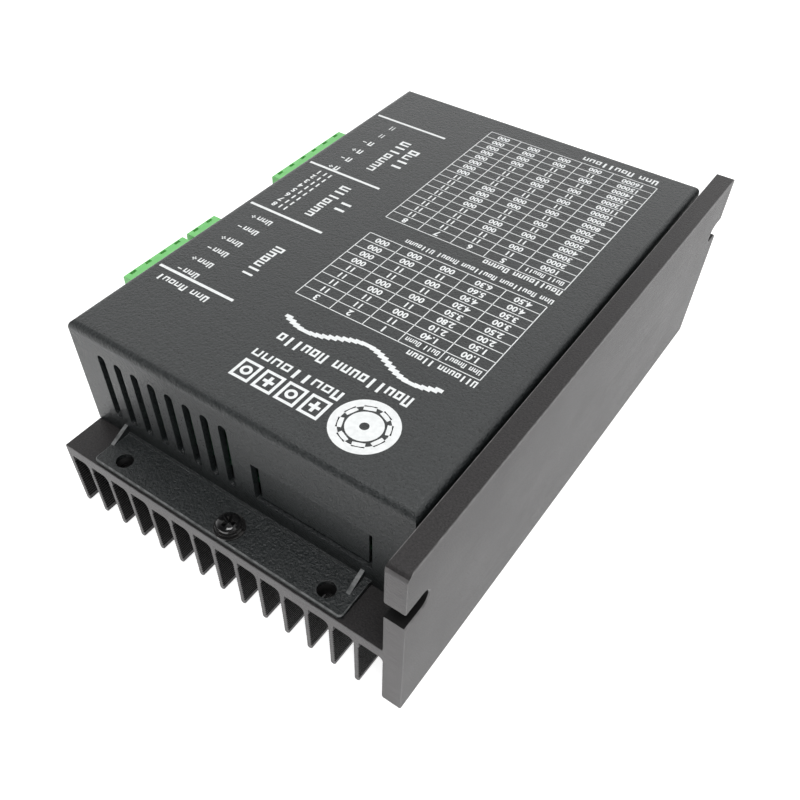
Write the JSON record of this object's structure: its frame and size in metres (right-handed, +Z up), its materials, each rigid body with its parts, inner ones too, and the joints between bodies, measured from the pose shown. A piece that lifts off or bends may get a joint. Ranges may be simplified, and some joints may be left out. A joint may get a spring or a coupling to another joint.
{
  "type": "stepper driver module",
  "caption": "Stepper motor driver: black finned heat sink with a side mounting flange, vented moulded cover, green pluggable terminal blocks and a row of slide switches.",
  "frame": {"origin": "centre of the bottom of the bounding box, level with the fin tips", "axes": "+X across the fins, from the terminal side to the mounting flange; +Y along the extrusion, from the end with the knock-out panel to the other; +Z up from the fins to the cover"},
  "size_m": [0.1086, 0.151, 0.0508],
  "materials": {
    "anodised_aluminium": "satin black anodised, fine blasted grain",
    "cover_plastic": "fine spark-eroded grain",
    "black_steel": "glossy black zinc",
    "board_laminate": "solder mask",
    "plug_green": "semi-gloss moulded",
    "plated_steel": "zinc plated",
    "brass": "bare",
    "switch_red": "moulded",
    "slider_white": "moulded",
    "package_black": "moulded epoxy",
    "capacitor_sleeve": "shrink sleeve",
    "lens_green": "tinted diffused epoxy",
    "lens_red": "tinted diffused epoxy"
  },
  "bodies": {
    "root": {"heatsink": "anodised_aluminium", "cover": "cover_plastic", "cover_screw_front": "black_steel", "cover_screw_back": "black_steel", "main_board": "board_laminate", "control_board": "board_laminate", "control_board_header": "package_black", "bulk_capacitor_1": "capacitor_sleeve", "bulk_capacitor_2": "capacitor_sleeve", "bridge_rectifier": "package_black", "power_transistor_1": "package_black", "power_transistor_2": "package_black", "power_transistor_3": "package_black", "power_transistor_4": "package_black", "transistor_clamp_bar": "plated_steel", "board_standoff_1": "brass", "board_standoff_2": "brass", "board_standoff_3": "brass", "board_standoff_4": "brass", "fault_led": "lens_red", "power_led": "lens_green", "signal_4_header": "plug_green", "signal_2_header": "plug_green", "power_6_header": "plug_green", "dip_switch_body": "switch_red"},
    "signal_4_plug": {"signal_4_plug": "plug_green"},
    "signal_4_screw_1": {"signal_4_screw_1": "plated_steel"},
    "signal_4_clamp_1": {"signal_4_clamp_1": "brass"},
    "signal_4_screw_2": {"signal_4_screw_2": "plated_steel"},
    "signal_4_clamp_2": {"signal_4_clamp_2": "brass"},
    "signal_4_screw_3": {"signal_4_screw_3": "plated_steel"},
    "signal_4_clamp_3": {"signal_4_clamp_3": "brass"},
    "signal_4_screw_4": {"signal_4_screw_4": "plated_steel"},
    "signal_4_clamp_4": {"signal_4_clamp_4": "brass"},
    "signal_2_plug": {"signal_2_plug": "plug_green"},
    "signal_2_screw_1": {"signal_2_screw_1": "plated_steel"},
    "signal_2_clamp_1": {"signal_2_clamp_1": "brass"},
    "signal_2_screw_2": {"signal_2_screw_2": "plated_steel"},
    "signal_2_clamp_2": {"signal_2_clamp_2": "brass"},
    "power_6_plug": {"power_6_plug": "plug_green"},
    "power_6_screw_1": {"power_6_screw_1": "plated_steel"},
    "power_6_clamp_1": {"power_6_clamp_1": "brass"},
    "power_6_screw_2": {"power_6_screw_2": "plated_steel"},
    "power_6_clamp_2": {"power_6_clamp_2": "brass"},
    "power_6_screw_3": {"power_6_screw_3": "plated_steel"},
    "power_6_clamp_3": {"power_6_clamp_3": "brass"},
    "power_6_screw_4": {"power_6_screw_4": "plated_steel"},
    "power_6_clamp_4": {"power_6_clamp_4": "brass"},
    "power_6_screw_5": {"power_6_screw_5": "plated_steel"},
    "power_6_clamp_5": {"power_6_clamp_5": "brass"},
    "power_6_screw_6": {"power_6_screw_6": "plated_steel"},
    "power_6_clamp_6": {"power_6_clamp_6": "brass"},
    "dip_slider_1": {"dip_slider_1": "slider_white"},
    "dip_slider_2": {"dip_slider_2": "slider_white"},
    "dip_slider_3": {"dip_slider_3": "slider_white"},
    "dip_slider_4": {"dip_slider_4": "slider_white"},
    "dip_slider_5": {"dip_slider_5": "slider_white"},
    "dip_slider_6": {"dip_slider_6": "slider_white"},
    "dip_slider_7": {"dip_slider_7": "slider_white"},
    "dip_slider_8": {"dip_slider_8": "slider_white"}
  },
  "joints": [
    {"name": "signal_4_plug_pull", "type": "slide", "parent": "root", "child": "signal_4_plug", "axis": [-1, 0, 0], "range_m": [0, 0.012]},
    {"name": "signal_4_screw_1_turn", "type": "hinge", "parent": "signal_4_plug", "child": "signal_4_screw_1", "pos_m": [-0.05135, -0.03697, 0.033], "axis": [0, 0, 1], "range_deg": [0, 1440]},
    {"name": "signal_4_clamp_1_close", "type": "slide", "parent": "signal_4_plug", "child": "signal_4_clamp_1", "axis": [0, 0, -1], "range_m": [0, 0.002]},
    {"name": "signal_4_screw_2_turn", "type": "hinge", "parent": "signal_4_plug", "child": "signal_4_screw_2", "pos_m": [-0.05135, -0.03189, 0.033], "axis": [0, 0, 1], "range_deg": [0, 1440]},
    {"name": "signal_4_clamp_2_close", "type": "slide", "parent": "signal_4_plug", "child": "signal_4_clamp_2", "axis": [0, 0, -1], "range_m": [0, 0.002]},
    {"name": "signal_4_screw_3_turn", "type": "hinge", "parent": "signal_4_plug", "child": "signal_4_screw_3", "pos_m": [-0.05135, -0.02681, 0.033], "axis": [0, 0, 1], "range_deg": [0, 1440]},
    {"name": "signal_4_clamp_3_close", "type": "slide", "parent": "signal_4_plug", "child": "signal_4_clamp_3", "axis": [0, 0, -1], "range_m": [0, 0.002]},
    {"name": "signal_4_screw_4_turn", "type": "hinge", "parent": "signal_4_plug", "child": "signal_4_screw_4", "pos_m": [-0.05135, -0.02173, 0.033], "axis": [0, 0, 1], "range_deg": [0, 1440]},
    {"name": "signal_4_clamp_4_close", "type": "slide", "parent": "signal_4_plug", "child": "signal_4_clamp_4", "axis": [0, 0, -1], "range_m": [0, 0.002]},
    {"name": "signal_2_plug_pull", "type": "slide", "parent": "root", "child": "signal_2_plug", "axis": [-1, 0, 0], "range_m": [0, 0.012]},
    {"name": "signal_2_screw_1_turn", "type": "hinge", "parent": "signal_2_plug", "child": "signal_2_screw_1", "pos_m": [-0.05135, -0.01494, 0.033], "axis": [0, 0, 1], "range_deg": [0, 1440]},
    {"name": "signal_2_clamp_1_close", "type": "slide", "parent": "signal_2_plug", "child": "signal_2_clamp_1", "axis": [0, 0, -1], "range_m": [0, 0.002]},
    {"name": "signal_2_screw_2_turn", "type": "hinge", "parent": "signal_2_plug", "child": "signal_2_screw_2", "pos_m": [-0.05135, -0.00986, 0.033], "axis": [0, 0, 1], "range_deg": [0, 1440]},
    {"name": "signal_2_clamp_2_close", "type": "slide", "parent": "signal_2_plug", "child": "signal_2_clamp_2", "axis": [0, 0, -1], "range_m": [0, 0.002]},
    {"name": "power_6_plug_pull", "type": "slide", "parent": "root", "child": "power_6_plug", "axis": [-1, 0, 0], "range_m": [0, 0.012]},
    {"name": "power_6_screw_1_turn", "type": "hinge", "parent": "power_6_plug", "child": "power_6_screw_1", "pos_m": [-0.05135, 0.01915, 0.033], "axis": [0, 0, 1], "range_deg": [0, 1440]},
    {"name": "power_6_clamp_1_close", "type": "slide", "parent": "power_6_plug", "child": "power_6_clamp_1", "axis": [0, 0, -1], "range_m": [0, 0.002]},
    {"name": "power_6_screw_2_turn", "type": "hinge", "parent": "power_6_plug", "child": "power_6_screw_2", "pos_m": [-0.05135, 0.02423, 0.033], "axis": [0, 0, 1], "range_deg": [0, 1440]},
    {"name": "power_6_clamp_2_close", "type": "slide", "parent": "power_6_plug", "child": "power_6_clamp_2", "axis": [0, 0, -1], "range_m": [0, 0.002]},
    {"name": "power_6_screw_3_turn", "type": "hinge", "parent": "power_6_plug", "child": "power_6_screw_3", "pos_m": [-0.05135, 0.02931, 0.033], "axis": [0, 0, 1], "range_deg": [0, 1440]},
    {"name": "power_6_clamp_3_close", "type": "slide", "parent": "power_6_plug", "child": "power_6_clamp_3", "axis": [0, 0, -1], "range_m": [0, 0.002]},
    {"name": "power_6_screw_4_turn", "type": "hinge", "parent": "power_6_plug", "child": "power_6_screw_4", "pos_m": [-0.05135, 0.03439, 0.033], "axis": [0, 0, 1], "range_deg": [0, 1440]},
    {"name": "power_6_clamp_4_close", "type": "slide", "parent": "power_6_plug", "child": "power_6_clamp_4", "axis": [0, 0, -1], "range_m": [0, 0.002]},
    {"name": "power_6_screw_5_turn", "type": "hinge", "parent": "power_6_plug", "child": "power_6_screw_5", "pos_m": [-0.05135, 0.03947, 0.033], "axis": [0, 0, 1], "range_deg": [0, 1440]},
    {"name": "power_6_clamp_5_close", "type": "slide", "parent": "power_6_plug", "child": "power_6_clamp_5", "axis": [0, 0, -1], "range_m": [0, 0.002]},
    {"name": "power_6_screw_6_turn", "type": "hinge", "parent": "power_6_plug", "child": "power_6_screw_6", "pos_m": [-0.05135, 0.04455, 0.033], "axis": [0, 0, 1], "range_deg": [0, 1440]},
    {"name": "power_6_clamp_6_close", "type": "slide", "parent": "power_6_plug", "child": "power_6_clamp_6", "axis": [0, 0, -1], "range_m": [0, 0.002]},
    {"name": "dip_slider_1_slide", "type": "slide", "parent": "root", "child": "dip_slider_1", "axis": [0, 0, 1], "range_m": [0, 0.0022]},
    {"name": "dip_slider_2_slide", "type": "slide", "parent": "root", "child": "dip_slider_2", "axis": [0, 0, 1], "range_m": [0, 0.0022]},
    {"name": "dip_slider_3_slide", "type": "slide", "parent": "root", "child": "dip_slider_3", "axis": [0, 0, 1], "range_m": [0, 0.0022]},
    {"name": "dip_slider_4_slide", "type": "slide", "parent": "root", "child": "dip_slider_4", "axis": [0, 0, 1], "range_m": [0, 0.0022]},
    {"name": "dip_slider_5_slide", "type": "slide", "parent": "root", "child": "dip_slider_5", "axis": [0, 0, 1], "range_m": [0, 0.0022]},
    {"name": "dip_slider_6_slide", "type": "slide", "parent": "root", "child": "dip_slider_6", "axis": [0, 0, 1], "range_m": [0, 0.0022]},
    {"name": "dip_slider_7_slide", "type": "slide", "parent": "root", "child": "dip_slider_7", "axis": [0, 0, 1], "range_m": [0, 0.0022]},
    {"name": "dip_slider_8_slide", "type": "slide", "parent": "root", "child": "dip_slider_8", "axis": [0, 0, 1], "range_m": [0, 0.0022]}
  ],
  "couplings": [
    {"joint": "signal_4_screw_1_turn", "follows": "signal_4_clamp_1_close", "rad_per_m": 12566},
    {"joint": "signal_4_screw_2_turn", "follows": "signal_4_clamp_2_close", "rad_per_m": 12566},
    {"joint": "signal_4_screw_3_turn", "follows": "signal_4_clamp_3_close", "rad_per_m": 12566},
    {"joint": "signal_4_screw_4_turn", "follows": "signal_4_clamp_4_close", "rad_per_m": 12566},
    {"joint": "signal_2_screw_1_turn", "follows": "signal_2_clamp_1_close", "rad_per_m": 12566},
    {"joint": "signal_2_screw_2_turn", "follows": "signal_2_clamp_2_close", "rad_per_m": 12566},
    {"joint": "power_6_screw_1_turn", "follows": "power_6_clamp_1_close", "rad_per_m": 12566},
    {"joint": "power_6_screw_2_turn", "follows": "power_6_clamp_2_close", "rad_per_m": 12566},
    {"joint": "power_6_screw_3_turn", "follows": "power_6_clamp_3_close", "rad_per_m": 12566},
    {"joint": "power_6_screw_4_turn", "follows": "power_6_clamp_4_close", "rad_per_m": 12566},
    {"joint": "power_6_screw_5_turn", "follows": "power_6_clamp_5_close", "rad_per_m": 12566},
    {"joint": "power_6_screw_6_turn", "follows": "power_6_clamp_6_close", "rad_per_m": 12566}
  ]
}
